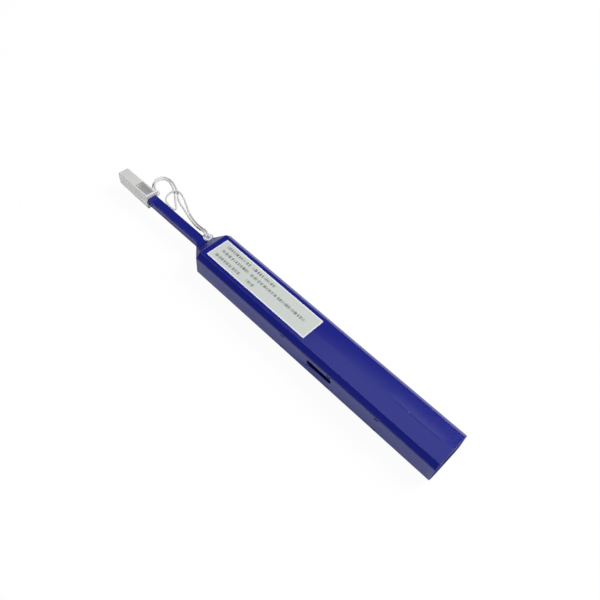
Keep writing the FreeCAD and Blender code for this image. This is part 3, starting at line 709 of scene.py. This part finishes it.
class PEN_OT_tether(bpy.types.Operator):
    """Twist the two strands of the tether and tie their stopper knot"""
    bl_idname = "pen.tether"
    bl_label = "Tether"

    def execute(self, context):
        material = twisted_cord()
        knot = new_piece("stopper_knot", knot_mesh(), material, "case")
        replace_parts(knot, "tether_knot")
        strand("long_strand", "tether_long_strand", LONG_STRAND, material)
        strand("short_strand", "tether_short_strand", SHORT_STRAND, material)
        for node in ("tether_long_strand", "tether_short_strand", "tether_knot"):
            wear_material(node, material)
        return {"FINISHED"}


class PEN_OT_mechanism(bpy.types.Operator):
    """Finish the sliding core, gears, reels, thread, spring and wiping head"""
    bl_idname = "pen.mechanism"
    bl_label = "Mechanism"

    def execute(self, context):
        finishes = inner_finishes()
        for part in frame["record"]["subparts"]:
            if part["material_slot"] in finishes:
                wear_material(part["node"], finishes[part["material_slot"]])
        squeezed_spring(finishes["spring_steel"])
        return {"FINISHED"}


class PEN_OT_stage(bpy.types.Operator):
    """Lay the pale floor, light it softly and set the camera"""
    bl_idname = "pen.stage"
    bl_label = "Stage"

    def execute(self, context):
        settings = context.scene.pen_stage
        floor = pale_floor(settings.floor_reach)
        light_world(settings.sky)
        for name, (place, size, share, mirrored) in LAMPS.items():
            lamp(name, place, size, settings.key * share, mirrored)
        set_camera(settings.lens)
        context.scene.view_settings.view_transform = "Standard"
        return {"FINISHED"}


# ---- stage --------------------------------------------------------------------------------------
def pale_floor(reach):
    """Floor that shows white to the camera and in reflections, and keeps soft shadows."""
    mesh = bpy.data.meshes.new("floor")
    shape = bmesh.new()
    bmesh.ops.create_grid(shape, x_segments=1, y_segments=1, size=reach)
    bmesh.ops.translate(shape, verts=shape.verts, vec=(0, 0, -0.01 * MM))
    shape.to_mesh(mesh)
    shape.free()
    floor = bpy.data.objects.new("floor", mesh)
    bpy.context.scene.collection.objects.link(floor)
    finish = Finish("pale_floor")
    camera, glossy, through = [finish.node("ShaderNodeLightPath", {}, {}, "Is %s Ray" % kind)
                               for kind in ("Camera", "Glossy", "Transmission")]
    seen = (0.92 * camera + 0.28 * (glossy + through)).math("MINIMUM", 0.92)
    grey = (0.62, 0.62, 0.62, 1)
    matt = finish.node("ShaderNodeBsdfPrincipled", {}, {"Base Color": grey, "Roughness": 0.9})
    white = finish.node("ShaderNodeEmission", {}, {"Color": (1, 1, 1, 1), "Strength": 1.04})
    both = finish.node("ShaderNodeMixShader", {}, {0: seen, 1: matt, 2: white})
    finish.node("ShaderNodeOutputMaterial", {}, {"Surface": both})
    mesh.materials.append(finish.material)
    return floor


def light_world(strength):
    """Even pale light from all round."""
    world = bpy.data.worlds.new("studio")
    world.use_nodes = True
    background = world.node_tree.nodes["Background"]
    background.inputs["Color"].default_value = (0.96, 0.98, 1.0, 1)
    background.inputs["Strength"].default_value = strength
    bpy.context.scene.world = world


# place, size, share of the key lamp's power, and whether glossy plastic mirrors the lamp
LAMPS = {
    "key_lamp": ((0.45, 0.85, 0.95), 0.8, 1.0, False),
    "fill_lamp": ((-0.1, -1.2, 0.12), 0.5, 0.44, False),
    "sheen_panel": ((-0.02, 0.27, 1.03), 0.8, 0.10, True),
}


def lamp(name, place, size, power, mirrored):
    """Round area lamp that faces the middle of the pen's back."""
    light = bpy.data.lights.new(name, "AREA")
    light.shape = "DISK"
    light.size = size
    light.energy = power
    holder = bpy.data.objects.new(name, light)
    bpy.context.scene.collection.objects.link(holder)
    holder.visible_glossy = mirrored
    holder.location = place
    holder.rotation_euler = Vector(place).to_track_quat("Z", "Y").to_euler()


def set_camera(lens):
    """Camera above the near side of the pen's rear half, tilted a little."""
    right = Vector((0.7066, 0.7036, 0.0748))
    up = Vector((-0.5995, 0.5392, 0.5915))
    back = Vector((0.3758, -0.4628, 0.8028))
    camera = bpy.data.cameras.new("camera")
    camera.lens = lens
    camera.sensor_width = 36.0
    camera.clip_start = 0.01
    holder = bpy.data.objects.new("camera", camera)
    bpy.context.scene.collection.objects.link(holder)
    turn = Matrix((right, up, back)).transposed()
    holder.matrix_world = Matrix.Translation((0.10801, -0.10931, 0.21366)) @ turn.to_4x4()
    bpy.context.scene.camera = holder


# ---- panel and registration ---------------------------------------------------------------------
class PEN_PT_panel(bpy.types.Panel):
    """Sizes, colours and steps of the cleaning pen"""
    bl_idname = "PEN_PT_panel"
    bl_label = "Cleaning pen"
    bl_space_type = "VIEW_3D"
    bl_region_type = "UI"
    bl_category = "Cleaning pen"

    def draw(self, context):
        for name, group in GROUPS.items():
            box = self.layout.box()
            for prop in group.__annotations__:
                box.prop(getattr(context.scene, name), prop)
        for operator in OPERATORS:
            self.layout.operator(operator.bl_idname)


OPERATORS = [PEN_OT_stage, PEN_OT_case, PEN_OT_label, PEN_OT_cap, PEN_OT_eyelet, PEN_OT_tether,
             PEN_OT_mechanism]


def register():
    for made in (*GROUPS.values(), *OPERATORS, PEN_PT_panel):
        bpy.utils.register_class(made)
    for name, group in GROUPS.items():
        setattr(bpy.types.Scene, name, bpy.props.PointerProperty(type=group))


def unregister():
    for name in GROUPS:
        delattr(bpy.types.Scene, name)
    for made in reversed((*GROUPS.values(), *OPERATORS, PEN_PT_panel)):
        bpy.utils.unregister_class(made)


def main():
    """Builds the pen step by step."""
    register()
    for operator in OPERATORS:
        getattr(bpy.ops.pen, operator.bl_idname.split(".")[1])()


if __name__ == "__main__":
    main()
